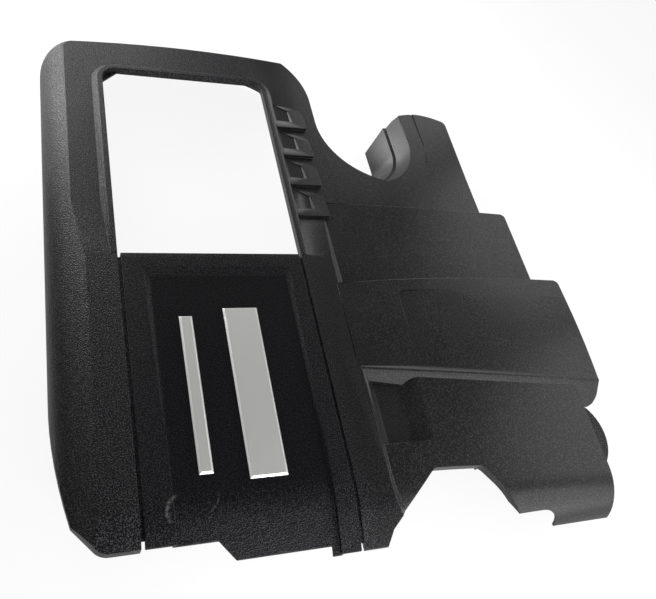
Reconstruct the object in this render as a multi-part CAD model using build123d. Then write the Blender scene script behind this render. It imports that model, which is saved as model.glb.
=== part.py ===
from build123d import *
import os
from math import asin, cos, radians, sin, sqrt, tan

# Engine cover: a moulded shell with a clipped-in centre panel, two trim bars and four ball grommets.
# Millimetres. X runs across the cover, Y from the front edge to the back, Z up. While the pieces are
# made, X and Y start at the middle of the wide trim bar and Z at the floor that the cover lies on.
# They are moved together to the middle of the cover's box when they are saved.

# Shell
wall = 2.5
rail_height = 60.0
rim_rise = 5.0
rim_land = 5.0
skirt_foot = 3.0
wing_skirt = 16.0
lip_depth = 8.0
gusset_leg = 17.5

# Window frame and rails
opening_left = 97.0
opening_width = 164.0
panel_top = 132.0
window_length = 229.0
window_corner = 14.0
left_rail_width = 26.0
right_rail_width = 30.0
back_border = 46.0
back_crown = 9.0
back_corner = 33.0
bay_corner = 84.0
flank_run = 31.0
flank_radius = 51.3
rail_flank_angle = 45.0
ramp_back = 57.0
ramp_front = 5.0
left_front = 115.0
left_front_taper = 12.0
left_front_cut = 24.0
left_front_cut_width = 18.0
left_front_corner = 12.0
right_front = 136.0
right_front_cut = 10.0
front_bend = 84.0
front_bend_radius = 92.0
front_bend_angle = 18.0
skirt_rise_start = 30.0
skirt_rise_end = 90.0
skirt_rise = 38.0
skirt_front = 45.0

# Bay for the neighbouring tank, and the ear beyond it
bay_gap = 24.7
bay_radius = 77.3
bay_middle = 311.0
ear_inner_radius = 61.0
ear_inner_middle = 292.0
ear_inner_turn = 71.4
ear_width = 59.0
ear_back = 339.0
ear_corner = 8.0
ear_back_bow = 3.0
ear_back_slant = 9.0
ear_back_draft = 18.0
ear_drop = 4.5
ear_tier_drop = 16.5
ear_tier_flare = 10.0
ear_ledge = 3.5
ear_foot_flare = 14.5
ear_pad_border = 19.0
ear_pad_rise = 1.0

# Shingle plates of the wing
plate_drop = 4.5
plate_reach = 217.0
plate_overlap = 18.0
plate_corner = 6.0
first_plate_back = 198.0
first_plate_slant = 8.0
first_trough_depth = 2.0
trough_floor = 27.0
trough_slope = 21.0
middle_plate_reach = 243.0
middle_plate_back = 99.0
middle_plate_bow = 5.0
middle_plate_crown = 3.0
middle_plate_crown_left = 0.2
middle_plate_front_left = 4.0
middle_plate_front_right = -35.0
middle_plate_front_drop_left = 8.0
middle_plate_front_drop_right = 20.0
middle_plate_bend = 4.0
middle_plate_front_corner = 10.0
middle_plate_recess = 1.0
middle_recess_left = 57.0
middle_recess_length = 100.0
middle_recess_width = 68.0
middle_recess_back = 90.0
apron_bend = 97.0
apron_roll = 40.0
apron_roll_angle = 86.0
apron_depth = 29.0
apron_left_bend = 82.0
apron_left_radius = 60.0
apron_left_angle = 26.0
apron_trough_depth = 7.5
apron_trough_front = 57.0
arch_top = 81.0
arch_left = 141.0
arch_width = 45.0
arch_corner = 9.0
arch_left_run = 47.5
arch_right_run = 27.0
arch_height = 43.5
arch_knee = 0.55
tab_left = 254.0
tab_rise = 17.5
tab_step = 16.0

# Louvre tiles beside the window
tile_count = 4
tile_pitch = 39.3
tile_back = 334.2
tile_width = 33.0
tile_length = 37.5
tile_slant = 9.3
tile_rise = 3.2
tile_corner = 10.0
tile_pocket_reach = 16.5
tile_pocket_slope = 4.5
tile_pocket_start = 11.0
tile_pocket_length = 17.0

# Lug and towers that carry the grommets
lug_radius = 42.0
lug_middle = (303.0, -58.0)
lug_drop = 27.0
lug_rim = 10.0
tower_places = ((-125.0, 340.0), (-122.0, -45.0), (258.0, 285.0), lug_middle)
tower_half = 18.0
tower_wall = 2.5
fork_thick = 3.0
grommet_flange = 4.0
grommet_flange_radius = 14.0
grommet_neck_radius = 9.0
grommet_head = 8.0
grommet_head_radius = 11.0
grommet_fit = 0.1
ball_bore_radius = 5.0
ball_bore_depth = 10.0

# Stiffening ribs on the hidden side
rib_width = 2.0
rib_depth = 9.0
rib_fields = 5

# Centre panel and its clips
panel_gap = 2.4
recess_left = 24.0
recess_right = 19.0
recess_back = 21.0
recess_depth = 2.0
recess_slope = 5.0
recess_front_run = 6.0
panel_front_left = 115.0
panel_tongue = 129.0
panel_tongue_start = 64.0
panel_tongue_slant = 12.0
panel_right_border = 22.0
ledge_width = 12.0
ledge_clear = 6.0
ledge_back = 3.0
clip_front = 95.0
clip_count = 3
clip_width = 10.0
clip_thick = 2.5
clip_play = 0.5
clip_barb = 1.6
clip_drop = 9.0

# Trim bars in the panel's recess
wide_bar_length = 150.0
wide_bar_width = 30.0
slim_bar_length = 136.0
slim_bar_width = 11.0
slim_bar_offset = 47.0
bar_height = 2.4
bar_bevel = 1.6

# Places worked out from the sizes above
below = -rail_height / 3
above = 2 * rail_height
frame_height = rail_height - rim_rise
plate_height = rail_height - plate_drop
ear_height = frame_height - ear_drop
apron_foot = plate_height - apron_depth
lug_height = rail_height - lug_drop
fork_top = grommet_flange + fork_thick
grommet_top = fork_top + grommet_head
slot_half = grommet_neck_radius + grommet_fit
opening_x0 = -opening_left
opening_x1 = opening_x0 + opening_width
left_crease = opening_x0 - left_rail_width
left_foot = left_crease - flank_run
right_crease = opening_x1 + right_rail_width
window_back = panel_top + window_length
back_edge = window_back + back_border
flank_centre = rail_height - sqrt(2 * flank_run * flank_radius - flank_run ** 2)
flank_drop = flank_radius - sqrt(flank_radius ** 2 - (frame_height - flank_centre) ** 2)
back_foot = back_edge + flank_drop
far_back = back_foot + back_border
far_front = -right_front - back_border
bay_x0 = right_crease + bay_gap
bay_centre = bay_x0 + bay_radius
ear_x0 = bay_centre + ear_inner_radius / 2
ear_x1 = ear_x0 + ear_width
wing_x1 = right_crease + plate_reach
middle_x1 = right_crease + middle_plate_reach
wing_root = right_crease - wall


def solid_across(outline, start, stop):
    """Closed outline in the Y-Z plane, carried along X."""
    return extrude(Pos(start, 0, 0) * make_face(outline), amount=stop - start, dir=(1, 0, 0))


def solid_along(outline, start, stop):
    """Closed outline in the X-Z plane, carried along Y."""
    return extrude(Pos(0, start, 0) * make_face(outline), amount=stop - start, dir=(0, 1, 0))


def solid_up(outline, start, stop):
    """Plan outline or face, carried along Z."""
    face = outline if isinstance(outline, (Face, Sketch)) else make_face(outline)
    return extrude(Pos(0, 0, start) * face, amount=stop - start, dir=(0, 0, 1))


def block(x0, x1, y0, y1, z0, z1):
    """Plain box between two corners."""
    return Pos((x0 + x1) / 2, (y0 + y1) / 2, (z0 + z1) / 2) * Box(x1 - x0, y1 - y0, z1 - z0)


def loop(*points):
    """Closed outline through points."""
    return Polyline(*points, close=True)


def plan(*points):
    """Plan face through points."""
    return make_face(Polyline(*[(x, y) for x, y in points], close=True))


def rounded(face, radius, picked):
    """Plan face with the corners nearest to the picked points rounded."""
    corners = [min(face.vertices(), key=lambda v: (v.X - x) ** 2 + (v.Y - y) ** 2) for x, y in picked]
    return fillet(corners, radius)


# Window frame and rails

def long_section(inset, bend_shift=0.0):
    """Body under the frame's long section: window frame, ramp, rails and front bend."""
    top = rail_height - inset
    face = frame_height - inset
    bend = -front_bend + bend_shift
    radius = front_bend_radius - inset
    angle = radians(front_bend_angle)
    bend_end = (0, bend - radius * sin(angle), top - radius * (1 - cos(angle)))
    bend_mid = (0, bend - radius * sin(angle / 2), top - radius * (1 - cos(angle / 2)))
    run = right_front
    tip = (0, bend_end[1] - run, bend_end[2] - run * tan(angle))
    outline = [
        Polyline((0, tip[1], below), (0, far_back, below), (0, far_back, face),
                 (0, panel_top + ramp_back, face), (0, panel_top - ramp_front, top), (0, bend, top)),
        ThreePointArc((0, bend, top), bend_mid, bend_end),
        Polyline(bend_end, tip, (0, tip[1], below)),
    ]
    return solid_across(outline, left_foot - wall, bay_x0 + bay_gap)


def right_flank(inset):
    """Body to the left of the right rail's sloping flank."""
    slope = 1 / tan(radians(rail_flank_angle))
    shift = inset / sin(radians(rail_flank_angle))
    top_x = right_crease - shift - (above - rail_height) * slope
    low_x = right_crease - shift + (rail_height - skirt_rise) * slope
    outline = loop((left_foot - wall, 0, below), (left_foot - wall, 0, above), (top_x, 0, above),
                   (low_x, 0, skirt_rise), (low_x, 0, below))
    return solid_along(outline, far_front, far_back)


def back_arch():
    """Middle and radius of the arched back foot, and the middle of its left corner."""
    half = (bay_x0 - left_foot) / 2
    middle_x = left_foot + half
    radius = (half ** 2 + back_crown ** 2) / (2 * back_crown)
    middle_y = back_foot - radius
    corner_x = left_foot + back_corner
    corner_y = middle_y + sqrt((radius - back_corner) ** 2 - (corner_x - middle_x) ** 2)
    return (middle_x, middle_y), radius, (corner_x, corner_y)


def flank_cut(inset):
    """Room outside the rolled flank, carried up the left side and round the back corner."""
    middle, arch, corner = back_arch()
    foot_x = left_foot + inset
    turn = corner[0] - middle[0], corner[1] - middle[1]
    reach = (arch - inset) / (arch - back_corner)
    join = (middle[0] + turn[0] * reach, middle[1] + turn[1] * reach)
    bend = sqrt(0.5) * (back_corner - inset)
    end = (bay_x0, middle[1] + sqrt((arch - inset) ** 2 - (bay_x0 - middle[0]) ** 2))
    path = Wire([
        Line((foot_x, far_front), (foot_x, corner[1])).edge(),
        ThreePointArc((foot_x, corner[1]), (corner[0] - bend, corner[1] + bend), join).edge(),
        ThreePointArc(join, (middle[0], middle[1] + arch - inset), end).edge(),
    ])
    radius = flank_radius - inset
    top = rail_height - inset
    climb = asin((top - flank_centre) / radius)
    middle_x = foot_x + radius
    half = (middle_x - radius * cos(climb / 2), far_front, flank_centre + radius * sin(climb / 2))
    crest = (middle_x - radius * cos(climb), far_front, top)
    outer = foot_x - back_border
    foot = (foot_x, far_front, flank_centre)
    outline = [
        ThreePointArc(foot, half, crest),
        Polyline(crest, (crest[0], far_front, above), (outer, far_front, above), (outer, far_front, below),
                 (foot_x, far_front, below), foot),
    ]
    return sweep(make_face(outline), path)


def frame_plan(inset):
    """Plan of the window frame and rails, with the arched back edge and the cut front corners."""
    shoulder = back_foot - back_crown
    taper_x = left_foot + left_front_taper
    taper_y = -left_front + left_front_cut
    cut_x = taper_x + left_front_cut_width
    foot_x = arch_left - arch_left_run
    foot_y = -arch_top - arch_height
    side_y = foot_y + (bay_x0 - foot_x) * arch_height / arch_left_run
    outline = [
        ThreePointArc((left_foot, shoulder), ((left_foot + bay_x0) / 2, back_foot), (bay_x0, shoulder)),
        Polyline((bay_x0, shoulder), (bay_x0, side_y), (foot_x, foot_y),
                 (right_crease - right_front_cut, -right_front), (opening_x1 - panel_gap, -right_front),
                 (opening_x1 - panel_gap, -left_front), (cut_x, -left_front), (taper_x, taper_y)),
        ThreePointArc((taper_x, taper_y), (left_foot + left_front_taper / 3, taper_y / 2),
                      (left_foot, skirt_rise_start)),
        Line((left_foot, skirt_rise_start), (left_foot, shoulder)),
    ]
    face = make_face(outline)
    face = rounded(face, back_corner, [(left_foot, shoulder)])
    face = rounded(face, bay_corner, [(bay_x0, shoulder)])
    face = rounded(face, left_front_corner, [(cut_x, -left_front)])
    return offset(face, amount=-inset) if inset else face


def frame_body(inset):
    """Window frame and rails as a filled body."""
    body = long_section(inset) & right_flank(inset)
    body = body & solid_up(frame_plan(inset), below if inset else skirt_foot, above)
    return body - flank_cut(inset)


def window_face(grow):
    """Window outline with its rounded back corners, grown by a margin on three sides."""
    x0 = opening_x0 - grow
    x1 = opening_x1 + grow
    y1 = window_back + grow
    face = plan((x0, panel_top), (x1, panel_top), (x1, y1), (x0, y1))
    return rounded(face, window_corner + grow, [(x0, y1), (x1, y1)])


def window_rim():
    """Raised rim round the window, with a sloping outer side."""
    low = Pos(0, 0, frame_height - wall) * window_face(rim_land + rim_rise + wall)
    high = Pos(0, 0, rail_height) * window_face(rim_land)
    return loft([low, high], ruled=True)


def window_lip():
    """Return lip that hangs from the window's edge."""
    ring = window_face(wall) - window_face(0)
    return solid_up(ring, rail_height - lip_depth, frame_height)


def window_gusset():
    """Small plate across the window's back left corner, at the lip's lower edge."""
    x0 = opening_x0 - wall
    y1 = window_back + wall
    low = rail_height - lip_depth
    face = plan((x0, y1), (x0, window_back - gusset_leg), (opening_x0 + gusset_leg, y1))
    return solid_up(face, low, low + wall)


# Bay, ear and the base of the wing

def ear_curve(flare):
    """Start, half-way point and end of the ear's inner curve, moved out by a flare."""
    right = ear_x0 - flare
    radius = ear_inner_radius - flare
    middle = right - radius
    turn = radians(ear_inner_turn)
    start = (middle + radius * cos(turn), ear_inner_middle - radius * sin(turn))
    half = (middle + radius * cos(turn / 2), ear_inner_middle - radius * sin(turn / 2))
    return start, half, (right, ear_inner_middle)


def bay_face(inset):
    """Open bay between the window frame and the ear, shrunk by an inset."""
    x0 = bay_x0 + inset
    radius = bay_radius - inset
    start, half, end = ear_curve(inset)
    turn = sqrt(0.5)
    outline = [
        Line((x0, far_back), (x0, bay_middle)),
        ThreePointArc((x0, bay_middle), (x0 + radius * (1 - turn), bay_middle - radius * turn), start),
        ThreePointArc(start, half, end),
        Polyline(end, (end[0], far_back), (x0, far_back)),
    ]
    return make_face(outline)


def ear_cut(flare):
    """Plan of the space beside the ear, with the ear's wall moved out by a flare."""
    start, half, end = ear_curve(flare)
    outline = [
        ThreePointArc(start, half, end),
        Polyline(end, (end[0], far_back), (bay_x0, far_back), (bay_x0, start[1]), start),
    ]
    return make_face(outline)


def ear_plan(x0, y0, inset):
    """Plan of the ear from a left and a front limit to its bowed back edge."""
    x1 = ear_x1 - inset
    y1 = ear_back - inset
    outline = [
        Polyline((ear_x0, y1 - ear_back_bow), (x0, y1 - ear_back_bow), (x0, y0), (x1, y0),
                 (x1, y1 - ear_back_slant)),
        ThreePointArc((x1, y1 - ear_back_slant), ((ear_x0 + ear_x1) / 2, y1), (ear_x0, y1 - ear_back_bow)),
    ]
    return rounded(make_face(outline), ear_corner, [(x1, y1 - ear_back_slant)])


def ear_body(inset):
    """Ear below its top sheet: two flared tiers with a ledge between them."""
    ledge_z = ear_height - ear_tier_drop
    foot = below if inset else skirt_foot
    lower_flare = ear_tier_flare + ear_ledge
    foot_flare = lower_flare + ear_foot_flare
    upper = loft([Pos(0, 0, ledge_z - inset) * ear_cut(ear_tier_flare - inset),
                  Pos(0, 0, ear_height) * ear_cut(-inset)], ruled=True)
    lower = loft([Pos(0, 0, foot) * ear_cut(foot_flare - inset),
                  Pos(0, 0, ledge_z - inset) * ear_cut(lower_flare - inset)], ruled=True)
    x0 = bay_centre - ear_foot_flare + inset
    face = ear_plan(x0, first_plate_back - plate_overlap, inset)
    slope = ear_back_draft / (ear_height - skirt_foot)
    y1 = ear_back - inset
    draft = loop((0, 0, below), (0, 0, above), (0, y1 + (above - ear_height) * slope, above),
                 (0, y1 + (below - ear_height) * slope, below))
    body = solid_up(face, foot, ear_height - inset) & solid_across(draft, x0, ear_x1)
    return body - upper - lower


def ear_pad():
    """Low raised facet on the ear's top that fades out towards the front."""
    x0 = right_crease + rim_rise
    sections = []
    for y, lift in ((first_plate_back, -ear_pad_rise / 2), (ear_back, ear_pad_rise)):
        outline = loop((x0, 0, frame_height - wall / 2), (x0, 0, frame_height + lift),
                       (ear_x1, 0, ear_height + lift), (ear_x1, 0, ear_height - wall / 2))
        sections.append(Pos(0, y, 0) * make_face(outline))
    face = ear_plan(bay_centre, first_plate_back, 0) - bay_face(-ear_pad_border)
    return loft(sections, ruled=True) & solid_up(face, below, above)


def base_body(inset):
    """Gently falling base sheet that joins the window frame, the bay and the ear."""
    outline = loop((wing_root, 0, below), (wing_root, 0, frame_height - inset),
                   (right_crease + rim_rise, 0, frame_height - inset),
                   (ear_x1, 0, ear_height - inset), (ear_x1, 0, below))
    slab = solid_along(outline, 0, far_back)
    y0 = first_plate_back - plate_overlap
    upper = plan((wing_root, y0), (bay_x0, y0), (bay_x0, far_back), (wing_root, far_back))
    face = ear_plan(wing_root, y0, 0) + (upper & frame_plan(0)) - bay_face(0)
    if inset:
        face = offset(face, amount=-inset)
    body = slab & solid_up(face, below if inset else frame_height - wing_skirt, above)
    return body - flank_cut(inset) - first_trough(inset)


# Shingle plates of the wing

def trough(floor_back, floor_front, back, front, top, grow):
    """Sunk channel beside the right rail: flat floor and a soft slope up to the plate's top."""
    x0 = wing_root
    x1 = right_crease + rim_rise + trough_floor + grow / 2
    x2 = x1 + trough_slope
    level = (1, 0, 0)
    sections = []
    for y, floor in ((back + grow, floor_back), (front - grow, floor_front)):
        outline = [
            Spline((x1, 0, floor - grow), (x2, 0, top - grow), tangents=(level, level)),
            Polyline((x2, 0, top - grow), (x2, 0, above), (x0, 0, above), (x0, 0, floor - grow),
                     (x1, 0, floor - grow)),
        ]
        sections.append(Pos(0, y, 0) * make_face(outline))
    return loft(sections, ruled=True)


def first_trough(grow):
    """Channel beside the rail in the plate nearest to the bay, sinking towards its front."""
    floor = frame_height - first_trough_depth
    return trough(frame_height, floor, first_plate_back + wall, middle_plate_back, plate_height, grow)


def first_plate(inset):
    """Plate nearest to the bay, with the channel that sinks towards its front."""
    top = plate_height - inset
    x1 = wing_x1 - inset
    y0 = middle_plate_back - plate_overlap
    left_back = first_plate_back - inset
    right_back = left_back - first_plate_slant
    bulge = ((wing_root + x1) / 2, left_back - first_plate_slant / 4)
    outline = [
        Polyline((wing_root, left_back), (wing_root, y0), (x1, y0), (x1, right_back)),
        ThreePointArc((x1, right_back), bulge, (wing_root, left_back)),
    ]
    face = rounded(make_face(outline), plate_corner, [(x1, right_back)])
    return solid_up(face, below if inset else plate_height - wing_skirt, top) - first_trough(inset)


def middle_section(x, front, drop, crown, inset):
    """Section of the middle plate at one X: crowned top and a front bent down at half a right angle."""
    top = plate_height + plate_drop
    radius = middle_plate_bend - inset
    turn = radians(45)
    y1 = middle_plate_back + plate_overlap
    y0 = front + drop + middle_plate_bend * tan(turn / 2)
    axis_z = top - middle_plate_bend
    crest = (x, y0, axis_z + radius)
    half = (x, y0 - radius * sin(turn / 2), axis_z + radius * cos(turn / 2))
    bent = (x, y0 - radius * sin(turn), axis_z + radius * cos(turn))
    lip = (x, front + inset, top - drop - inset * tan(turn / 2))
    low = below if inset else plate_height - wing_skirt
    outline = [
        ThreePointArc((x, y1, crest[2]), (x, (y0 + y1) / 2, crest[2] + crown), crest),
        ThreePointArc(crest, half, bent),
        Polyline(bent, lip, (x, lip[1], low), (x, y1, low), (x, y1, crest[2])),
    ]
    return make_face(outline)


def middle_plate(inset):
    """Raised middle plate, which overlaps both of its neighbours."""
    left = middle_section(wing_root, middle_plate_front_left, middle_plate_front_drop_left,
                          middle_plate_crown_left, inset)
    right = middle_section(middle_x1, middle_plate_front_right, middle_plate_front_drop_right,
                           middle_plate_crown, inset)
    body = loft([left, right], ruled=True)
    x1 = middle_x1 - inset
    y1 = middle_plate_back - inset
    lip_left = middle_plate_front_left + inset
    slant = (middle_plate_front_right - middle_plate_front_left) / (middle_x1 - wing_root)
    lip_right = lip_left + slant * (x1 - wing_root)
    outline = [
        Polyline((wing_root, y1), (wing_root, lip_left), (x1, lip_right), (x1, y1)),
        ThreePointArc((x1, y1), ((wing_root + x1) / 2, y1 + middle_plate_bow), (wing_root, y1)),
    ]
    face = rounded(make_face(outline), plate_corner, [(x1, y1)])
    face = rounded(face, middle_plate_front_corner - inset, [(x1, lip_right)])
    return body & solid_up(face, below, above)


def middle_recess(grow):
    """Shallow recess in the middle plate that fades out to the right."""
    x0 = right_crease + middle_recess_left - grow
    x1 = x0 + middle_recess_length + 2 * grow
    y1 = middle_recess_back + grow
    y0 = y1 - middle_recess_width - 2 * grow
    top = plate_height + plate_drop - grow
    rise = middle_plate_crown - middle_plate_crown_left
    low = top + middle_plate_crown_left + rise * (x0 - right_crease) / middle_plate_reach - middle_plate_recess
    high = top + middle_plate_crown_left + rise * (x1 - right_crease) / middle_plate_reach
    wedge = loop((x0, 0, above), (x0, 0, low), (x1, 0, high), (x1, 0, above))
    face = plan((x0, y0), (x1, y0), (x1, y1), (x0, y1))
    face = rounded(face, plate_corner, [(x0, y0), (x0, y1)])
    return solid_along(wedge, y0, y1) & solid_up(face, below, above)


def apron_section(inset, bend, roll, angle):
    """Outline of the apron's section: flat top and a rolled front."""
    top = plate_height - inset
    radius = roll - inset
    turn = radians(angle)
    y1 = middle_plate_front_left + plate_overlap
    mid = (0, -bend - radius * sin(turn / 2), top - radius * (1 - cos(turn / 2)))
    end = (0, -bend - radius * sin(turn), top - radius * (1 - cos(turn)))
    tip_y = end[1] - (end[2] - below) / tan(turn)
    return [
        Polyline((0, tip_y, below), (0, y1, below), (0, y1, top), (0, -bend, top)),
        ThreePointArc((0, -bend, top), mid, end),
        Line(end, (0, tip_y, below)),
    ]


def apron_foot_face():
    """Front view of what is kept of the apron: a tab at the right and a step up beside it."""
    step_z = apron_foot + tab_rise
    step_x = tab_left - tab_step
    root_x = right_crease + tab_step
    return [
        Polyline((step_x, 0, step_z), (root_x, 0, step_z), (root_x, 0, apron_foot), (wing_root, 0, apron_foot),
                 (wing_root, 0, above), (wing_x1, 0, above), (wing_x1, 0, apron_foot), (tab_left, 0, apron_foot)),
        Spline((tab_left, 0, apron_foot), (step_x, 0, step_z), tangents=((0, 0, 1), (-1, 0, 0))),
    ]


def arch_face(grow):
    """Plan of the arch cut into the apron's front, and of the room in front of it."""
    y1 = -arch_top + grow
    y0 = far_front
    knee_y = -arch_top - arch_height * arch_knee
    foot_y = -arch_top - arch_height
    right = arch_left + arch_width + grow
    face = plan((opening_x1, foot_y + grow), (arch_left - arch_left_run - grow, foot_y + grow),
                (arch_left - grow, y1), (right, y1 - wall), (right + arch_right_run * arch_knee, knee_y),
                (right + arch_right_run, foot_y), (right + arch_right_run, y0), (opening_x1, y0))
    return rounded(face, arch_corner, [(arch_left - grow, y1), (right, y1 - wall)])


def apron(inset):
    """Front plate of the wing: level top, rolled front, sunk channel and foot tab."""
    split = arch_left + arch_width / 2
    right = solid_across(apron_section(inset, apron_bend, apron_roll, apron_roll_angle), split, wing_x1 - inset)
    left = solid_across(apron_section(inset, apron_left_bend, apron_left_radius, apron_left_angle),
                        wing_root, split)
    body = left + right
    if not inset:
        body = body & solid_along(apron_foot_face(), far_front, back_edge)
        body = body - solid_up(arch_face(0), below, above)
    floor = plate_height - apron_trough_depth
    channel = trough(floor, floor, middle_plate_front_left + plate_overlap + wall, -apron_trough_front,
                     plate_height, inset)
    return body - channel


def arch_lip():
    """Return lip along the arch's edge, as deep as the other lips."""
    ring = solid_up(arch_face(wall) - arch_face(0), below, above)
    split = arch_left + arch_width / 2
    right = solid_across(apron_section(0, apron_bend, apron_roll, apron_roll_angle), split, wing_x1)
    left = solid_across(apron_section(0, apron_left_bend, apron_left_radius, apron_left_angle),
                        right_crease + rim_rise, split)
    skin = (left + right) & solid_along(apron_foot_face(), far_front, back_edge)
    return (skin - Pos(0, 0, -lip_depth) * skin) & ring


# Louvre tiles

def tile(back):
    """One louvre tile: flush at its back edge, raised at its front, with a pocket open to the window."""
    x0 = opening_x1 + rim_land + rim_rise / 2
    x1 = x0 + tile_width
    front = back - tile_length
    face = plan((x0, front), (x1, front), (x1, back - tile_slant), (x0, back))
    face = rounded(face, tile_corner, [(x1, back - tile_slant)])
    wedge = solid_across(loop((0, back, frame_height - wall), (0, back, frame_height),
                              (0, front, frame_height + tile_rise), (0, front, frame_height - wall)), x0, x1)
    pocket_x1 = x0 + tile_pocket_reach
    pocket_back = back - tile_pocket_start
    pocket_front = pocket_back - tile_pocket_length
    pocket = plan((x0 - rim_rise, back), (x0, back), (pocket_x1, pocket_back), (pocket_x1, pocket_front),
                  (x0 - rim_rise, pocket_front))
    slope = solid_along(loop((x0, 0, frame_height), (pocket_x1, 0, frame_height),
                             (pocket_x1 + tile_pocket_slope, 0, frame_height + tile_rise),
                             (pocket_x1 + tile_pocket_slope, 0, above), (x0, 0, above)), pocket_front, pocket_back)
    return (wedge & solid_up(face, below, above)) - solid_up(pocket, frame_height, above) - slope


# Carriers of the grommets

def tower(place, body):
    """Tower at one place: a fork plate on three walls that reach up into the sheet of a body.

    The fork opens towards the middle of the cover, so that a grommet's neck slides into it.
    """
    x, y = place
    inner = tower_half - tower_wall
    side = 1 if x < 0 else -1
    mouth = x + side * (tower_half + wall)
    room_x = sorted((x - side * inner, mouth))
    slot_x = sorted((x - side * slot_half, mouth))
    room = block(*room_x, y - inner, y + inner, fork_top, above)
    slot = block(*slot_x, y - slot_half, y + slot_half, below, above)
    solid = block(x - tower_half, x + tower_half, y - tower_half, y + tower_half, grommet_flange, above)
    return (solid - room - slot) & (Pos(0, 0, -wall / 2) * body)


def lug_disc(radius, top, depth):
    """Round plate on the lug's middle, reaching down from a level."""
    x, y = lug_middle
    return Pos(x, y, top - depth / 2) * Cylinder(radius, depth)


def lug():
    """Rounded lug at a lower level, with a turned-down rim."""
    return lug_disc(lug_radius, lug_height, lug_rim) - lug_disc(lug_radius - wall, lug_height - wall, lug_rim)


def lug_webs(body):
    """Crossed webs from the lug up into the sheet of a body."""
    x, y = lug_middle
    half = tower_wall / 2
    low = lug_height - wall / 2
    long_web = block(x - tower_half, x + tower_half, y - half, y + half, low, above)
    cross_web = block(x - half, x + half, y - tower_half, y + tower_half, low, above)
    return (long_web + cross_web) & (Pos(0, 0, -wall / 2) * body)


def carriers(body):
    """Lug, towers and webs: everything between the shell and the grommets."""
    group = lug() + lug_webs(body)
    for place in tower_places:
        roof = lug_disc(lug_radius, lug_height, lug_height) if place == lug_middle else body
        group = group + tower(place, roof)
    return group


def grommets():
    """Rubber ball sockets, one in each fork: flange, neck and head with a blind bore from below."""
    group = []
    for x, y in tower_places:
        outline = Polyline((0, ball_bore_depth), (ball_bore_radius, ball_bore_depth), (ball_bore_radius, 0),
                           (grommet_flange_radius, 0), (grommet_flange_radius, grommet_flange),
                           (grommet_neck_radius, grommet_flange), (grommet_neck_radius, fork_top),
                           (grommet_head_radius, fork_top), (grommet_head_radius, grommet_top),
                           (0, grommet_top), close=True)
        group.append(Pos(x, y, 0) * revolve(Plane.XZ * make_face(outline), Axis.Z))
    return Compound(children=group)


# Stiffening ribs

def ribs(body):
    """Ribs under the level sheets of the wing and along the rails."""
    sheet = (Pos(0, 0, -wall / 2) * body) - (Pos(0, 0, -wall / 2 - rib_depth) * body)
    bars = None
    half = rib_width / 2
    y_back = first_plate_back - plate_overlap
    for x in (right_crease + plate_reach * k / rib_fields for k in range(2, rib_fields)):
        bar = block(x - half, x + half, -apron_bend, y_back, apron_foot, above)
        bars = bar if bars is None else bars + bar
    for y in (first_plate_back - 2 * plate_overlap, middle_plate_back - 2 * plate_overlap,
              -middle_plate_front_left - 2 * plate_overlap):
        bars = bars + block(right_crease + trough_floor, wing_x1 - wall, y - half, y + half, apron_foot, above)
    return bars & sheet


# Seat for the centre panel

def clip_places():
    """Y places of the panel's clips."""
    run = panel_top - ledge_clear + clip_front
    return [-clip_front + run * (k + 0.5) / clip_count for k in range(clip_count)]


def panel_seat():
    """Ledge along each rail that the panel sits on, with slots for its clips."""
    band = long_section(wall) - long_section(2 * wall)
    step = long_section(0) - long_section(2 * wall)
    y1 = panel_top - ledge_back
    seat = None
    for x_edge, side, front in ((opening_x0, 1, panel_front_left), (opening_x1, -1, right_front)):
        y0 = ledge_clear - front
        xs = sorted((x_edge - side * wall, x_edge + side * (panel_gap + ledge_width)))
        ledge = band & block(xs[0], xs[1], y0, y1, below, above)
        ws = sorted((x_edge - side * wall, x_edge))
        upstand = step & block(ws[0], ws[1], y0, y1, below, above)
        for y in clip_places():
            slot_x = clip_x(x_edge, side)
            ledge = ledge - block(slot_x - clip_thick / 2 - clip_play, slot_x + clip_thick / 2 + clip_play,
                                  y - clip_width / 2 - clip_play, y + clip_width / 2 + clip_play, below, above)
        seat = ledge + upstand if seat is None else seat + ledge + upstand
    return seat


def clip_x(x_edge, side):
    """X of a clip's middle on the ledge beside one edge of the opening."""
    return x_edge + side * (panel_gap + ledge_width / 2)


def main_cover():
    """The cover's one moulding: outer bodies less their inner bodies, then lips, ribs and carriers."""
    outer = frame_body(0) + base_body(0) + ear_body(0) + first_plate(0)
    outer = outer + (middle_plate(0) - middle_recess(0)) + apron(0)
    inner = frame_body(wall) + base_body(wall) + ear_body(wall) + first_plate(wall)
    inner = inner + (middle_plate(wall) - middle_recess(wall)) + apron(wall)
    opening = solid_up(window_face(0), below, above) + block(opening_x0, opening_x1, far_front,
                                                              panel_top, below, above)
    shell = outer - inner
    shell = shell + ribs(outer)
    front_gap = loop((0, skirt_rise_start, below), (0, skirt_rise_start, skirt_foot - wall),
                     (0, -skirt_rise_end, skirt_rise), (0, -left_front, skirt_front),
                     (0, far_front, skirt_front), (0, far_front, below))
    shell = shell + window_rim() + window_lip() + ear_pad()
    shell = shell - opening - solid_across(front_gap, left_foot - wall, right_crease + tab_step)
    shell = shell + panel_seat() + window_gusset()
    for k in range(tile_count):
        shell = shell + tile(tile_back - k * tile_pitch)
    return shell + arch_lip() + carriers(outer)


# Centre panel

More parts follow.
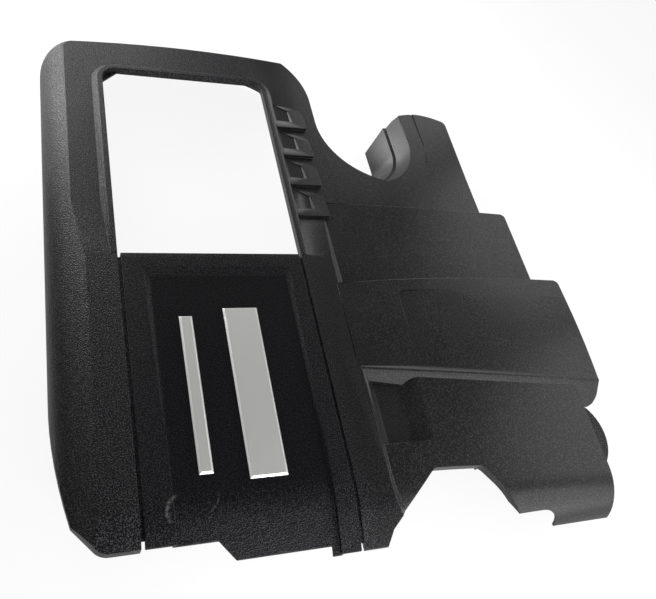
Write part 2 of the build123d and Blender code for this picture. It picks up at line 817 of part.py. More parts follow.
def panel_plan(front_shift=0.0):
    """Plan of the centre panel, with the tongue and border at its front edge."""
    x0 = opening_x0 + panel_gap
    x1 = opening_x1 - panel_gap
    tongue_x0 = x0 + panel_tongue_start
    border_x0 = x1 - panel_right_border
    return plan((x0, panel_top), (x1, panel_top), (x1, -right_front + front_shift),
                (border_x0, -right_front + front_shift), (border_x0, -panel_tongue + front_shift),
                (tongue_x0, -panel_tongue + front_shift),
                (tongue_x0 - panel_tongue_slant, -panel_front_left + front_shift),
                (x0, -panel_front_left + front_shift))


def recess_body(grow):
    """Recess in the panel, open at the front, deeper by a margin."""
    x0 = opening_x0 + recess_left - grow
    x1 = opening_x1 - recess_right + grow
    space = block(x0, x1, far_front, panel_top - recess_back + grow, below, above)
    return space - long_section(recess_depth + grow, recess_front_run)


def recess_slopes():
    """Sloped walls round the back of the recess, which fade into upright ones at the front bend."""
    x0 = opening_x0 + recess_left
    x1 = opening_x1 - recess_right
    y0 = -front_bend
    y1 = panel_top - recess_back
    run = recess_slope
    floor = plan((x0, y0), (x1, y0), (x1, y1), (x0, y1))
    brim = plan((x0, y0), (x1, y0), (x1 + run, y1 + run), (x0 - run, y1 + run))
    return loft([Pos(0, 0, rail_height - recess_depth) * floor, Pos(0, 0, rail_height) * brim], ruled=True)


def centre_panel():
    """Panel between the rails: a bent sheet with a sunk recess, end lips and clips."""
    face = panel_plan()
    depth = long_section(0) - long_section(lip_depth)
    outer = (depth & solid_up(face, below, above)) - recess_body(0) - recess_slopes()
    hollow_face = plan((left_foot, panel_top - wall), (bay_x0, panel_top - wall),
                       (bay_x0, far_front), (left_foot, far_front))
    inner = (long_section(wall) & solid_up(hollow_face, below, above)) - recess_body(wall)
    panel = outer - inner
    top = rail_height - wall
    for x_edge, side in ((opening_x0, 1), (opening_x1, -1)):
        x = clip_x(x_edge, side)
        for y in clip_places():
            leg = block(x - clip_thick / 2, x + clip_thick / 2, y - clip_width / 2, y + clip_width / 2,
                        top - clip_drop, top + wall / 2)
            hook_z = top - wall - clip_play / 2
            inward = x + side * clip_thick / 2
            hook = solid_along(loop((inward, 0, hook_z), (inward + side * clip_barb, 0, hook_z),
                                    (inward, 0, top - clip_drop)), y - clip_width / 2, y + clip_width / 2)
            panel = panel + leg + hook
    return panel


def trim_bar(length, width, x):
    """Bevelled bar lying on the recess's floor."""
    z = rail_height - recess_depth
    bar = block(x - width / 2, x + width / 2, -length / 2, length / 2, z, z + bar_height)
    return chamfer(bar.faces().sort_by(Axis.Z)[-1].edges(), bar_bevel)


pieces = {
    "main_cover": main_cover(),
    "centre_panel": centre_panel(),
    "wide_trim_bar": trim_bar(wide_bar_length, wide_bar_width, 0.0),
    "slim_trim_bar": trim_bar(slim_bar_length, slim_bar_width, -slim_bar_offset),
    "ball_grommets": grommets(),
}
boxes = [piece.bounding_box() for piece in pieces.values()]
middle_x = (min(box.min.X for box in boxes) + max(box.max.X for box in boxes)) / 2
middle_y = (min(box.min.Y for box in boxes) + max(box.max.Y for box in boxes)) / 2
os.makedirs("parts", exist_ok=True)
for name, piece in pieces.items():
    export_step(Pos(-middle_x, -middle_y, 0) * piece, f"parts/{name}.step")
print("moved by", -middle_x, -middle_y)
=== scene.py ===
"""Engine cover: finishes, softened edges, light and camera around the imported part.

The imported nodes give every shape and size. Each piece is shown as a copy of its node with merged facets
and rounded edges, dressed in a procedural finish. Lengths are metres in the part's own frame.
"""

from __future__ import annotations

import logging
import math
from dataclasses import dataclass, field
from enum import Enum

import bmesh
import bpy
import numpy as np
from mathutils import Matrix, Vector
from mathutils.bvhtree import BVHTree

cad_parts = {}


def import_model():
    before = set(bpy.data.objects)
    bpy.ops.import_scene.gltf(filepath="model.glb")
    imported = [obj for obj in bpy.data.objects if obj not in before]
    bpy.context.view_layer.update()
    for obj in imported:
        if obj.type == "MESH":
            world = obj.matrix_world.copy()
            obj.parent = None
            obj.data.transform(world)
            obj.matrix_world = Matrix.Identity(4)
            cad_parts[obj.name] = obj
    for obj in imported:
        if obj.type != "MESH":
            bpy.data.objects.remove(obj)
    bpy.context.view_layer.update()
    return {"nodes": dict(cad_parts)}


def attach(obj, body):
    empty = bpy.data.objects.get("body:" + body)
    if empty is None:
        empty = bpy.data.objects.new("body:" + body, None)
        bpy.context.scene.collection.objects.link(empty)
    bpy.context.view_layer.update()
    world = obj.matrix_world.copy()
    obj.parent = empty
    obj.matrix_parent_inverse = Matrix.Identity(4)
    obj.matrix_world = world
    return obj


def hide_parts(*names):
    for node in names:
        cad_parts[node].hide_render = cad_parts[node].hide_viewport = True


LOG = logging.getLogger("engine_cover")
MM = 0.001
BODY = "root"

Colour = tuple[float, float, float]
Point = tuple[float, float, float]
Range = tuple[float, float]
Socket = bpy.types.NodeSocket

UNIT: Range = (0.0, 1.0)
FALLING: Range = (1.0, 0.0)
WHITE = (1.0, 1.0, 1.0, 1.0)


class Blend(Enum):
    """Ways of laying one colour over another."""

    MIX = "MIX"
    MULTIPLY = "MULTIPLY"


class Maths(Enum):
    """Ways of joining two values."""

    ADD = "ADD"
    SUBTRACT = "SUBTRACT"
    MULTIPLY = "MULTIPLY"
    MAXIMUM = "MAXIMUM"
    ABSOLUTE = "ABSOLUTE"


class NodeBoard:
    """A shader tree with short calls for the nodes that the finishes use."""

    MIX_FACTOR = 0
    MIX_LOW = 6
    MIX_HIGH = 7
    MIX_RESULT = 2

    def __init__(self, tree: bpy.types.NodeTree) -> None:
        """Empties the tree.

        Args:
            tree: the material's or world's node tree.
        """
        self.tree = tree
        tree.nodes.clear()

    def add(self, kind: str, **values: object) -> bpy.types.Node:
        """Adds a node and sets its plain attributes.

        Args:
            kind: the node's type name.
            values: attribute names and their values.

        Returns:
            The new node.
        """
        node = self.tree.nodes.new(kind)
        for name, value in values.items():
            setattr(node, name, value)
        return node

    def feed(self, node: bpy.types.Node, **inputs: object) -> bpy.types.Node:
        """Sets or links a node's inputs; an underscore in a name stands for a space.

        Args:
            node: the node that is fed.
            inputs: socket names with a constant or an output socket each.

        Returns:
            The same node.
        """
        for name, value in inputs.items():
            self.give(node.inputs[name.replace("_", " ")], value)
        return node

    def give(self, socket: Socket, value: object) -> None:
        """Links an output socket to an input, or sets the input's own value.

        Args:
            socket: the input.
            value: an output socket or a constant.
        """
        if isinstance(value, bpy.types.NodeSocket):
            self.tree.links.new(value, socket)
        else:
            socket.default_value = value

    def place(self) -> Socket:
        """Object coordinates, in metres."""
        return self.add("ShaderNodeTexCoord").outputs["Object"]

    def stretched(self, vector: Socket, scale: Point) -> Socket:
        """Coordinates stretched along the three axes."""
        return self.feed(self.add("ShaderNodeMapping"), Vector=vector, Scale=scale).outputs["Vector"]

    def noise(self, vector: Socket, scale: float, detail: float) -> Socket:
        """Noise between 0 and 1.

        Args:
            vector: coordinates.
            scale: features per metre.
            detail: how many finer layers are added.

        Returns:
            The noise value's socket.
        """
        node = self.feed(self.add("ShaderNodeTexNoise"), Vector=vector, Scale=scale, Detail=detail)
        return node.outputs["Fac"]

    def spread(self, value: Socket, source: Range, target: Range = UNIT) -> Socket:
        """Value carried from one range to another, held inside it.

        Args:
            value: the input socket.
            source: the inputs that give the two ends of the target.
            target: the first and the last result.

        Returns:
            The result's socket.
        """
        node = self.add("ShaderNodeMapRange")
        self.feed(node, Value=value, From_Min=source[0], From_Max=source[1], To_Min=target[0],
                  To_Max=target[1])
        return node.outputs["Result"]

    def maths(self, operation: Maths, first: object, second: object = 0.0) -> Socket:
        """Two values joined by an operation.

        Args:
            operation: how they are joined.
            first: socket or number.
            second: socket or number.

        Returns:
            The result's socket.
        """
        node = self.add("ShaderNodeMath", operation=operation.value)
        self.give(node.inputs[0], first)
        self.give(node.inputs[1], second)
        return node.outputs[0]

    def layer(self, factor: object, low: object, high: object, blend: Blend = Blend.MIX) -> Socket:
        """One colour laid over another.

        Args:
            factor: how much of the upper colour shows.
            low: the lower colour.
            high: the upper colour.
            blend: how they are joined.

        Returns:
            The colour's socket.
        """
        node = self.add("ShaderNodeMix", data_type="RGBA", blend_type=blend.value)
        self.give(node.inputs[self.MIX_FACTOR], factor)
        for index, colour in ((self.MIX_LOW, low), (self.MIX_HIGH, high)):
            self.give(node.inputs[index], (*colour, 1.0) if isinstance(colour, tuple) else colour)
        return node.outputs[self.MIX_RESULT]

    def tinted(self, colour: object, level: Socket) -> Socket:
        """Colour made lighter or darker.

        Args:
            colour: socket or colour.
            level: the factor at each place.

        Returns:
            The colour's socket.
        """
        grey = self.feed(self.add("ShaderNodeCombineColor"), Red=level, Green=level, Blue=level)
        return self.layer(1.0, colour, grey.outputs["Color"], Blend.MULTIPLY)

    def axis(self, vector: Socket, name: str) -> Socket:
        """One coordinate of a vector."""
        return self.feed(self.add("ShaderNodeSeparateXYZ"), Vector=vector).outputs[name]

    def distance(self, vector: Socket, point: Point) -> Socket:
        """Distance from a fixed point.

        Args:
            vector: coordinates.
            point: the fixed point.

        Returns:
            The distance's socket.
        """
        node = self.add("ShaderNodeVectorMath", operation="DISTANCE")
        self.give(node.inputs[0], vector)
        self.give(node.inputs[1], point)
        return node.outputs["Value"]

    def bump(self, height: Socket, depth: float, strength: float) -> Socket:
        """Surface normal with a relief.

        Args:
            height: relief between 0 and 1.
            depth: the relief's height in metres.
            strength: how strongly it shows.

        Returns:
            The normal's socket.
        """
        node = self.feed(self.add("ShaderNodeBump"), Height=height, Distance=depth, Strength=strength)
        return node.outputs["Normal"]


def new_material(name: str) -> tuple[bpy.types.Material, NodeBoard, bpy.types.Node]:
    """Material with an empty board, a principled shader and an output.

    Args:
        name: the material's name.

    Returns:
        The material, its board and its principled shader.
    """
    material = bpy.data.materials.new(name)
    material.use_nodes = True
    board = NodeBoard(material.node_tree)
    shader = board.add("ShaderNodeBsdfPrincipled")
    board.feed(board.add("ShaderNodeOutputMaterial"), Surface=shader.outputs["BSDF"])
    return material, board, shader


@dataclass(frozen=True)
class Mottle:
    """Soft noise whose middle part is carried to a range of values."""

    scale: float
    detail: float
    source: Range
    target: Range

    def value(self, board: NodeBoard, place: Socket) -> Socket:
        """The mottle at each place."""
        return board.spread(board.noise(place, self.scale, self.detail), self.source, self.target)


@dataclass(frozen=True)
class MouldedGrain:
    """Grained black plastic: pale specks in a dark ground, with a coarse and a smooth zone.

    The smooth zone begins at an X of the part, over a soft border, and leaves out the low lug: painted shade,
    as the lug keeps the duller coarse finish so that it renders darker.
    """

    name: str
    ground: Colour
    speck: Colour
    smooth_ground: Colour
    smooth_and_shade_speck: Colour
    grain: float = 1000.0
    grain_detail: float = 0.0
    speck_range: Range = (0.50, 0.68)
    tint: Mottle = Mottle(9.0, 4.0, (0.3, 0.7), (0.86, 1.14))
    roughness: float = 0.48
    smooth_roughness: float = 0.33
    roughness_drift: Mottle = Mottle(16.0, 3.0, (0.35, 0.65), (-0.03, 0.03))
    relief: float = 0.50 * MM
    relief_strength: float = 0.90
    smooth_relief: float = 0.2
    specular: float = 0.24
    smooth_specular: float = 0.40
    smooth_from: float = -0.030
    smooth_border: float = 0.015
    lug_top: float = 0.036
    lug_span: Range = (-0.252, -0.120)
    lug_border: float = 3.0 * MM

    def material(self) -> bpy.types.Material:
        """Builds the finish.

        Returns:
            The material.
        """
        material, board, shader = new_material(self.name)
        place = board.place()
        # smooth also carries painted shade: it leaves out the low lug, and on the panel it is the darker
        # recess
        smooth = self.smooth_and_shade_zone(board, place)
        colour, height = self.skin(board, place, smooth)
        rough = board.maths(Maths.ADD, self.roughness_drift.value(board, place),
                            board.spread(smooth, UNIT, (self.roughness, self.smooth_roughness)))
        gloss = board.spread(smooth, UNIT, (self.specular, self.smooth_specular))
        board.feed(shader, Base_Color=self.wear(board, place, colour), Roughness=rough,
                   Specular_IOR_Level=gloss,
                   Normal=board.bump(height, self.relief, self.relief_strength))
        return material

    def smooth_and_shade_zone(self, board: NodeBoard, place: Socket) -> Socket:
        """Where the smooth zone lies; it leaves out the low lug, which keeps the duller coarse finish as
        painted shade.

        Args:
            board: the material's board.
            place: object coordinates.

        Returns:
            The mask's socket.
        """
        border = (self.smooth_from - self.smooth_border, self.smooth_from + self.smooth_border)
        across = board.spread(board.axis(place, "X"), border)
        # painted shade: the low lug is left out of the smooth zone, so it keeps the duller coarse finish and
        # renders darker
        beside_lug = board.maths(Maths.SUBTRACT, 1.0, self.lug(board, place))
        return board.maths(Maths.MULTIPLY, across, beside_lug)

    def lug(self, board: NodeBoard, place: Socket) -> Socket:
        """Where the low lug lies, which keeps the duller coarse grain as painted shade, so that it renders
        darker.

        Args:
            board: the material's board.
            place: object coordinates.

        Returns:
            The mask's socket.
        """
        front, back = self.lug_span
        low = board.spread(board.axis(place, "Z"), (self.lug_top, self.lug_top + self.lug_border), FALLING)
        along = board.axis(place, "Y")
        behind = board.spread(along, (front, front + self.lug_border))
        before = board.spread(along, (back, back + self.lug_border), FALLING)
        return board.maths(Maths.MULTIPLY, low, board.maths(Maths.MULTIPLY, behind, before))

    def skin(self, board: NodeBoard, place: Socket, smooth: Socket) -> tuple[Socket, Socket]:
        """Colour and relief of the grain in both zones.

        Args:
            board: the material's board.
            place: object coordinates.
            smooth: how smooth each place is; it also carries painted shade, the low lug left coarse and the
                panel's recess darker.

        Returns:
            The colour's and the relief's sockets.
        """
        grain = board.noise(place, self.grain, self.grain_detail)
        specks = board.spread(grain, self.speck_range)
        coarse = board.layer(specks, self.ground, self.speck)
        # fine is the smooth zone's colour; on the panel its darker specks are painted shade in the recess
        fine = board.layer(specks, self.smooth_ground, self.smooth_and_shade_speck)
        colour = board.tinted(board.layer(smooth, coarse, fine), self.tint.value(board, place))
        calm = board.spread(smooth, UNIT, (1.0, self.smooth_relief))
        return colour, board.maths(Maths.MULTIPLY, grain, calm)

    def wear(self, board: NodeBoard, place: Socket, colour: Socket) -> Socket:
        """Colour with the wear that this moulding shows: none here."""
        return colour


@dataclass(frozen=True)
class Scuff:
    """Pale rubbed mark: a part of a circle that fades out away from its middle.

    It keeps its full strength over a share of its reach.
    """

    centre: Point
    radius: float
    width: float
    middle: Point
    reach: float
    strength: float
    full: float = 0.4

    def mask(self, board: NodeBoard, place: Socket) -> Socket:
        """Where the mark shows.

        Args:
            board: the material's board.
            place: object coordinates.

        Returns:
            The mask's socket.
        """
        aside = board.maths(Maths.SUBTRACT, board.distance(place, self.centre), self.radius)
        line = board.spread(board.maths(Maths.ABSOLUTE, aside), (0.0, self.width), (self.strength, 0.0))
        away = board.distance(place, self.middle)
        near = board.spread(away, (self.full * self.reach, self.reach), FALLING)
        return board.maths(Maths.MULTIPLY, line, near)


@dataclass(frozen=True)
class ScuffedGrain(MouldedGrain):
    """Grained plastic whose recess is its smooth zone, with painted shade there as darker specks, and two
    pale scuffs.
    """

    recess_across: Range = (-0.169, -0.045)
    recess_along: Range = (-0.246, -0.037)
    recess_border: float = 3.0 * MM
    recess_fade: float = 22.0 * MM
    scuff_colour: Colour = (0.17, 0.17, 0.165)
    scuff_breaks: Mottle = Mottle(420.0, 3.0, (0.38, 0.58), (0.1, 1.0))
    scuffs: tuple[Scuff, ...] = (
        Scuff(centre=(-0.160, -0.240, 0.058), radius=13.8 * MM, width=1.8 * MM,
              middle=(-0.172, -0.236, 0.059), reach=12.0 * MM, strength=1.0),
        Scuff(centre=(-0.150, -0.229, 0.058), radius=14.6 * MM, width=0.9 * MM,
              middle=(-0.139, -0.237, 0.058), reach=11.0 * MM, strength=0.35),
    )

    def smooth_and_shade_zone(self, board: NodeBoard, place: Socket) -> Socket:
        """Where the recess lies, which gets painted shade as darker specks: between its sides and its back,
        and fading out at the front bend.

        Args:
            board: the material's board.
            place: object coordinates.

        Returns:
            The mask's socket.
        """
        across, along = board.axis(place, "X"), board.axis(place, "Y")
        left, right = self.recess_across
        front, back = self.recess_along
        sides = board.maths(Maths.MULTIPLY, board.spread(across, (left, left + self.recess_border)),
                            board.spread(across, (right - self.recess_border, right), FALLING))
        ends = board.maths(Maths.MULTIPLY, board.spread(along, (front, front + self.recess_fade)),
                           board.spread(along, (back - self.recess_border, back), FALLING))
        return board.maths(Maths.MULTIPLY, sides, ends)

    def wear(self, board: NodeBoard, place: Socket, colour: Socket) -> Socket:
        """Adds the scuffs, broken up by a fine pattern.

        Args:
            board: the material's board.
            place: object coordinates.
            colour: the colour below the scuffs.

        Returns:
            The colour's socket.
        """
        breaks = self.scuff_breaks.value(board, place)
        for scuff in self.scuffs:
            shown = board.maths(Maths.MULTIPLY, scuff.mask(board, place), breaks)
            colour = board.layer(shown, colour, self.scuff_colour)
        return colour


@dataclass(frozen=True)
class SatinTrim:
    """Satin metal: fine lengthwise brushing in the roughness and relief."""

    name: str
    colour: Colour
    metallic: float = 0.7
    brush_scale: float = 2600.0
    brush_detail: float = 2.0
    brush_stretch: Point = (1.0, 0.02, 1.0)
    brush_range: Range = (0.3, 0.7)
    roughness: Range = (0.34, 0.48)
    relief: float = 0.02 * MM
    relief_strength: float = 0.4

    def material(self) -> bpy.types.Material:
        """Builds the finish.

        Returns:
            The material.
        """
        material, board, shader = new_material(self.name)
        place = board.stretched(board.place(), self.brush_stretch)
        brushed = board.noise(place, self.brush_scale, self.brush_detail)
        board.feed(shader, Base_Color=(*self.colour, 1.0), Metallic=self.metallic,
                   Roughness=board.spread(brushed, self.brush_range, self.roughness),
                   Normal=board.bump(brushed, self.relief, self.relief_strength))
        return material


@dataclass(frozen=True)
class MattRubber:
    """Dull black rubber with a fine bloom."""

    name: str
    ground: Colour
    bloom: Colour
    grain: float = 420.0
    grain_detail: float = 3.0
    bloom_range: Range = (0.45, 0.7)
    roughness: float = 0.72
    relief: float = 0.08 * MM
    relief_strength: float = 0.4

    def material(self) -> bpy.types.Material:
        """Builds the finish.

        Returns:
            The material.
        """
        material, board, shader = new_material(self.name)
        grain = board.noise(board.place(), self.grain, self.grain_detail)
        colour = board.layer(board.spread(grain, self.bloom_range), self.ground, self.bloom)
        board.feed(shader, Base_Color=colour, Roughness=self.roughness,
                   Normal=board.bump(grain, self.relief, self.relief_strength))
        return material


@dataclass(frozen=True)
class PaleStage:
    """Matt pale finish of the floor and the wall, near white when it is seen or mirrored."""

    name: str = "pale_floor"
    colour: Colour = (0.11, 0.11, 0.11)
    tint: Mottle = Mottle(3.0, 2.0, (0.3, 0.7), (0.98, 1.0))
    roughness: float = 0.9
    lift: float = 0.90

    def material(self) -> bpy.types.Material:
        """Builds the finish.

        Returns:
            The material.
        """
        material, board, shader = new_material(self.name)
        colour = board.tinted(self.colour, self.tint.value(board, board.place()))
        rays = board.add("ShaderNodeLightPath").outputs
        bent = board.maths(Maths.MAXIMUM, rays["Is Glossy Ray"], rays["Is Transmission Ray"])
        seen = board.maths(Maths.MAXIMUM, rays["Is Camera Ray"], bent)
        board.feed(shader, Base_Color=colour, Roughness=self.roughness, Specular_IOR_Level=0.0,
                   Emission_Color=WHITE,
                   Emission_Strength=board.maths(Maths.MULTIPLY, seen, self.lift))
        return material


@dataclass(frozen=True)
class DarkCard:
    """Matt dark finish of the card beside the part."""

    name: str = "dark_card"
    dark: Colour = (0.05, 0.05, 0.05)
    pale: Colour = (0.06, 0.06, 0.06)
    grain: float = 40.0
    grain_detail: float = 2.0
    roughness: float = 0.9

    def material(self) -> bpy.types.Material:
        """Builds the finish.

        Returns:
            The material.
        """
        material, board, shader = new_material(self.name)
        grain = board.noise(board.place(), self.grain, self.grain_detail)
        board.feed(shader, Base_Color=board.layer(grain, self.dark, self.pale),
                   Roughness=self.roughness, Specular_IOR_Level=0.0)
        return material


COVER_PLASTIC = MouldedGrain(
    "cover_plastic", ground=(0.002, 0.002, 0.003), speck=(0.060, 0.060, 0.065),
    smooth_ground=(0.002, 0.002, 0.003), smooth_and_shade_speck=(0.029, 0.029, 0.031))
# The panel's smooth zone is its recess: its darker specks there are painted shade.
PANEL_PLASTIC = ScuffedGrain(
    "panel_plastic", ground=(0.001, 0.001, 0.002), speck=(0.027, 0.027, 0.031),
    smooth_ground=(0.001, 0.001, 0.002), smooth_and_shade_speck=(0.015, 0.015, 0.018), smooth_roughness=0.48,
    specular=0.20, smooth_specular=0.17)
TRIM_METAL = SatinTrim("trim_metal", (0.84, 0.84, 0.82))
GROMMET_RUBBER = MattRubber("grommet_rubber", (0.012, 0.012, 0.012), (0.035, 0.035, 0.034))
Finish = MouldedGrain | SatinTrim | MattRubber


@dataclass
class RoundedPiece:
    """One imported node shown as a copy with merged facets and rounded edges.

    Angles are degrees. An edge is rounded when it is longer than `shortest` roundings, and a rounding
    strays when it leaves the node by more than the share `stray` of its own size.
    """

    node: str
    piece: str
    slot: str
    edge: float
    finish: Finish
    weld: float = 0.02 * MM
    flat: float = 0.6
    sharp: float = 24.0
    steps: int = 2
    profile: float = 0.5
    shortest: float = 2.2
    tries: int = 6
    stray: float = 0.8
    margin: float = 1.0 * MM
    even_weight: int = 100
    samples: tuple[Point, ...] = (
        (0.34, 0.33, 0.33), (0.6, 0.2, 0.2), (0.2, 0.6, 0.2), (0.2, 0.2, 0.6),
        (0.48, 0.48, 0.04), (0.48, 0.04, 0.48), (0.04, 0.48, 0.48))
    shape: bpy.types.Object | None = field(default=None, init=False)

    def build(self, nodes: dict[str, bpy.types.Object]) -> bpy.types.Object:
        """Makes the piece from its node, riding on the part's body.

        Args:
            nodes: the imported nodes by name.

        Returns:
            The new object.
        """
        self.shape = bpy.data.objects.new(self.piece, self.softened(nodes[self.node].data))
        even = self.shape.modifiers.new("even_shading", "WEIGHTED_NORMAL")
        even.keep_sharp = True
        even.weight = self.even_weight
        bpy.context.scene.collection.objects.link(self.shape)
        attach(self.shape, BODY)
        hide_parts(self.node)
        return self.shape

    def softened(self, source: bpy.types.Mesh) -> bpy.types.Mesh:
        """Copies the node's mesh, joins its facets and rounds its sharp edges inside the node's box.

        Args:
            source: the node's mesh, which stays as it is.

        Returns:
            The new mesh.
        """
        mesh = source.copy()
        mesh.name = self.piece
        body = bmesh.new()
        body.from_mesh(mesh)
        bmesh.ops.remove_doubles(body, verts=body.verts, dist=self.weld)
        bmesh.ops.dissolve_limit(body, angle_limit=math.radians(self.flat), verts=body.verts,
                                 edges=body.edges)
        low = [min(vertex.co[axis] for vertex in body.verts) for axis in range(3)]
        high = [max(vertex.co[axis] for vertex in body.verts) for axis in range(3)]
        body = self.round_edges(body)
        for vertex in body.verts:
            vertex.co = [min(max(vertex.co[axis], low[axis]), high[axis]) for axis in range(3)]
        body.to_mesh(mesh)
        body.free()
        mesh.materials.clear()
        mesh.shade_smooth()
        mesh.set_sharp_from_angle(angle=math.radians(self.sharp))
        return mesh

    def round_edges(self, plain: bmesh.types.BMesh) -> bmesh.types.BMesh:
        """Rounds the sharp edges, apart from those where a rounding would stray from the node.

        Args:
            plain: the piece's mesh with all its edges sharp; it is freed.

        Returns:
            The mesh with rounded edges.
        """
        surface = BVHTree.FromBMesh(plain)
        spots: list[tuple[Vector, float]] = []
        for _ in range(self.tries):
            body = plain.copy()
            bmesh.ops.bevel(body, geom=self.rounded(body, spots), offset=self.edge, offset_type="OFFSET",
                            segments=self.steps, profile=self.profile, affect="EDGES",
                            clamp_overlap=False)
            strays = self.strays(body, surface)
            if not strays:
                break
            spots.extend(strays)
        LOG.info("%s: %d places kept sharp, %d stray", self.piece, len(spots), len(strays))
        plain.free()
        return body

    def rounded(self, body: bmesh.types.BMesh,
                spots: list[tuple[Vector, float]]) -> list[bmesh.types.BMEdge]:
        """Picks the edges to round: sharp, long enough and away from the places kept sharp.

        Args:
            body: the piece's mesh.
            spots: the places kept sharp, each with its reach.

        Returns:
            The edges.
        """
        limit = math.radians(self.sharp)
        picked = []
        for edge in body.edges:
            if (len(edge.link_faces) == 2 and edge.calc_face_angle() > limit
                    and edge.calc_length() > self.shortest * self.edge):
                ends = [vertex.co for vertex in edge.verts]
                if not any((end - spot).length < reach for spot, reach in spots for end in ends):
                    picked.append(edge)
        return picked

    def strays(self, body: bmesh.types.BMesh, surface: BVHTree) -> list[tuple[Vector, float]]:
        """Finds where the rounded mesh leaves the node's surface by more than a rounding does.

        Args:
            body: the rounded mesh.
            surface: the node's surface.

        Returns:
            The corners of the stray triangles, each with the reach to keep sharp around it.
        """
        found = []
        for loops in body.calc_loop_triangles():
            corners = [loop.vert.co for loop in loops]
            for share in self.samples:
                point = sum((corner * part for corner, part in zip(corners, share)), Vector())
                gap = surface.find_nearest(point)[3]
                if gap > self.stray * self.edge:
                    found.extend((corner.copy(), gap + self.margin) for corner in corners)
                    break
        return found

    def dress(self) -> None:
        """Gives the piece its finish and reports it."""
        self.shape.data.materials.append(self.finish.material())
        LOG.info("%s: %d faces", self.piece, len(self.shape.data.polygons))


@dataclass
class CoverShell(RoundedPiece):
    """The main moulding: window frame, rails, tiles, bay, ear and wing."""

    node: str = "main_cover"
    piece: str = "cover_shell"
    slot: str = "cover"
    edge: float = 0.6 * MM
    finish: Finish = COVER_PLASTIC


@dataclass
class PanelSheet(RoundedPiece):
    """The second moulding, clipped in between the rails."""

    node: str = "centre_panel"
    piece: str = "panel_sheet"
    slot: str = "panel"
    edge: float = 0.6 * MM
    finish: Finish = PANEL_PLASTIC


@dataclass
class WideBar(RoundedPiece):
    """The wide bar in the panel's recess."""

    node: str = "wide_trim_bar"
    piece: str = "wide_bar"
    slot: str = "trim"
    edge: float = 0.3 * MM
    finish: Finish = TRIM_METAL


@dataclass
class SlimBar(RoundedPiece):
    """The slim bar beside the wide one."""

    node: str = "slim_trim_bar"
    piece: str = "slim_bar"
    slot: str = "trim"
    edge: float = 0.3 * MM
    finish: Finish = TRIM_METAL


@dataclass
class RubberSockets(RoundedPiece):
    """The four ball sockets under the cover."""

    node: str = "ball_grommets"
    piece: str = "rubber_sockets"
    slot: str = "grommet"
    edge: float = 0.5 * MM
    finish: Finish = GROMMET_RUBBER


@dataclass(frozen=True)
class PhotoCamera:
    """Camera at the photograph's place, with its focal length and width in pixels and its roll in degrees."""

    eye: Point = (-0.2570, -0.3970, 0.5799)
    aim: Point = (-0.0087, -0.0589, 0.0500)
    roll: float = 29.0
    focal: float = 739.8
    width: float = 656.0
    nearest: float = 0.01
    farthest: float = 50.0

    def place(self) -> None:
        """Makes the camera and sets it as the scene's own."""
        data = bpy.data.cameras.new("photo_camera")
        data.lens = data.sensor_width * self.focal / self.width
        data.clip_start = self.nearest
        data.clip_end = self.farthest
        camera = bpy.data.objects.new("photo_camera", data)
        camera.matrix_world = Matrix.Translation(Vector(self.eye)) @ self.turn()
        bpy.context.scene.collection.objects.link(camera)
        bpy.context.scene.camera = camera

    def turn(self) -> Matrix:
        """The camera's rotation: it looks at its aim and is rolled about that line.

        Returns:
            The rotation as a 4 by 4 matrix.
        """
        ahead = (Vector(self.aim) - Vector(self.eye)).normalized()
        level = Vector((ahead.y, -ahead.x, 0.0)).normalized()
        angle = math.radians(self.roll)
        right = level * math.cos(angle) + level.cross(ahead) * math.sin(angle)
        return Matrix((right, right.cross(ahead), -ahead)).transposed().to_4x4()


@dataclass(frozen=True)
class Lamp:
    """Round soft lamp beside the part, out of the camera's sight."""

    name: str
    place: Point
    radius: float
    radiance: float

    def light(self) -> None:
        """Makes the lamp; its power follows from its radius and its radiance."""
        data = bpy.data.lights.new(self.name, "POINT")
        data.shadow_soft_size = self.radius
        data.energy = self.radiance * (2.0 * math.pi * self.radius) ** 2
        lamp = bpy.data.objects.new(self.name, data)
        lamp.location = self.place
        lamp.visible_camera = False
        bpy.context.scene.collection.objects.link(lamp)


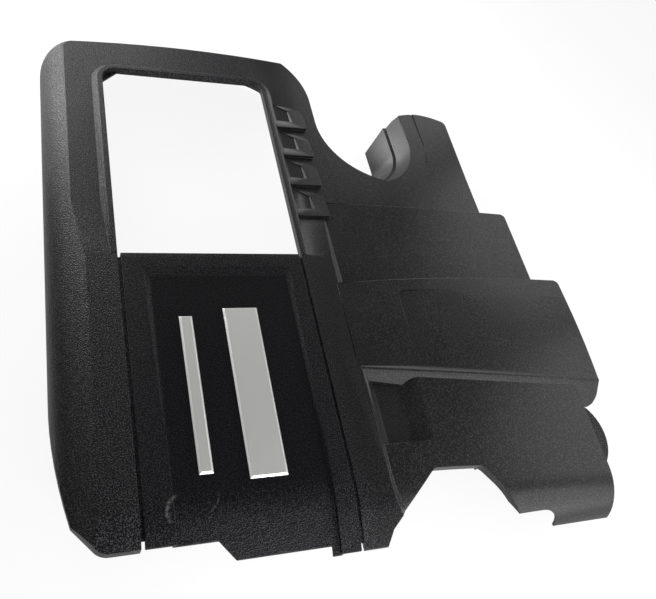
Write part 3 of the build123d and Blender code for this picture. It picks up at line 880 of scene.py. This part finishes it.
@dataclass(frozen=True)
class Studio:
    """Pale floor and wall under a dim even sky, with a ring of soft lamps round the part."""

    floor_half: float = 6.0
    wall_radius: float = 5.0
    wall_height: float = 1.6
    wall_sides: int = 64
    card_from: Point = (-0.95, -0.55, 0.001)
    card_to: Point = (-0.275, 0.14, 0.001)
    sky_light: float = 0.30
    pale: PaleStage = PaleStage()
    dark: DarkCard = DarkCard()
    lamps: tuple[Lamp, ...] = (
        Lamp("left", (-0.36, 0.30, 0.10), 0.08, 4.6),
        Lamp("high_left", (-0.40, 0.66, 0.42), 0.16, 5.1),
        Lamp("back_left", (-0.48, 0.50, 0.14), 0.17, 5.0),
        Lamp("back", (-0.22, 0.50, 0.16), 0.20, 2.0),
        Lamp("high_back", (0.16, 0.42, 0.72), 0.12, 0.6),
        Lamp("bay", (0.055, 0.21, 0.03), 0.022, 6.2),
        Lamp("back_right", (0.25, 0.43, 0.13), 0.18, 1.4),
        Lamp("right", (0.38, 0.14, 0.19), 0.15, 1.3),
        Lamp("front_right", (0.44, -0.16, 0.25), 0.18, 1.6),
        Lamp("far_front", (0.28, -0.49, 0.20), 0.21, 2.4),
        Lamp("front", (-0.07, -0.43, 0.12), 0.11, 4.8),
    )

    def build(self) -> None:
        """Makes the sky, the lamps, the floor, the wall and the card."""
        self.sky()
        for lamp in self.lamps:
            lamp.light()
        pale = self.pale.material()
        half = self.floor_half
        self.sheet("floor", (-half, -half, 0.0), (half, half, 0.0), pale)
        self.wall(pale)
        self.card()

    def sky(self) -> None:
        """Even dim light from everywhere."""
        world = bpy.data.worlds.new("even_sky")
        bpy.context.scene.world = world
        world.use_nodes = True
        board = NodeBoard(world.node_tree)
        sky = board.feed(board.add("ShaderNodeBackground"), Strength=self.sky_light)
        board.feed(board.add("ShaderNodeOutputWorld"), Surface=sky.outputs["Background"])

    def wall(self, material: bpy.types.Material) -> None:
        """Makes the wall round the floor: a ring of points at the floor, carried up to its height.

        Args:
            material: the wall's finish.
        """
        turn = np.linspace(0.0, 2.0 * np.pi, self.wall_sides, endpoint=False)
        ring = np.stack((np.cos(turn), np.sin(turn), np.zeros_like(turn)), axis=1) * self.wall_radius
        points = np.concatenate((ring, ring + (0.0, 0.0, self.wall_height)))
        first = np.arange(self.wall_sides)
        after = (first + 1) % self.wall_sides
        faces = np.stack((after, first, first + self.wall_sides, after + self.wall_sides), axis=1)
        self.staged("backdrop", points.tolist(), faces.tolist(), material)

    def card(self) -> None:
        """Makes the dark card on the floor at the left, seen only as a reflection in the left flank."""
        card = self.sheet("flag", self.card_from, self.card_to, self.dark.material())
        card.visible_camera = card.visible_diffuse = card.visible_shadow = False

    def sheet(self, name: str, start: Point, stop: Point,
              material: bpy.types.Material) -> bpy.types.Object:
        """Makes a level sheet between two corners.

        Args:
            name: the sheet's name.
            start: one corner.
            stop: the corner across from it.
            material: the sheet's finish.

        Returns:
            The sheet.
        """
        left, front, height = start
        right, back, _ = stop
        points = [(left, front, height), (right, front, height), (right, back, height), (left, back, height)]
        return self.staged(name, points, [(0, 1, 2, 3)], material)

    def staged(self, name: str, points: list, faces: list,
               material: bpy.types.Material) -> bpy.types.Object:
        """Makes an object of the stage from points and faces.

        Args:
            name: the object's name.
            points: its points.
            faces: the points of each face, by number.
            material: its finish.

        Returns:
            The object.
        """
        mesh = bpy.data.meshes.new(name)
        mesh.from_pydata(points, [], faces)
        mesh.materials.append(material)
        shape = bpy.data.objects.new(name, mesh)
        bpy.context.scene.collection.objects.link(shape)
        return shape


def main() -> None:
    """Builds the pieces in order, the studio and the camera."""
    logging.basicConfig(level=logging.INFO, format="%(name)s: %(message)s")
    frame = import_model()
    bpy.context.scene.view_settings.view_transform = "Standard"
    for piece in (CoverShell(), PanelSheet(), WideBar(), SlimBar(), RubberSockets()):
        piece.build(frame["nodes"])
        piece.dress()
    Studio().build()
    PhotoCamera().place()
    bpy.context.view_layer.update()


if __name__ == "__main__":
    main()
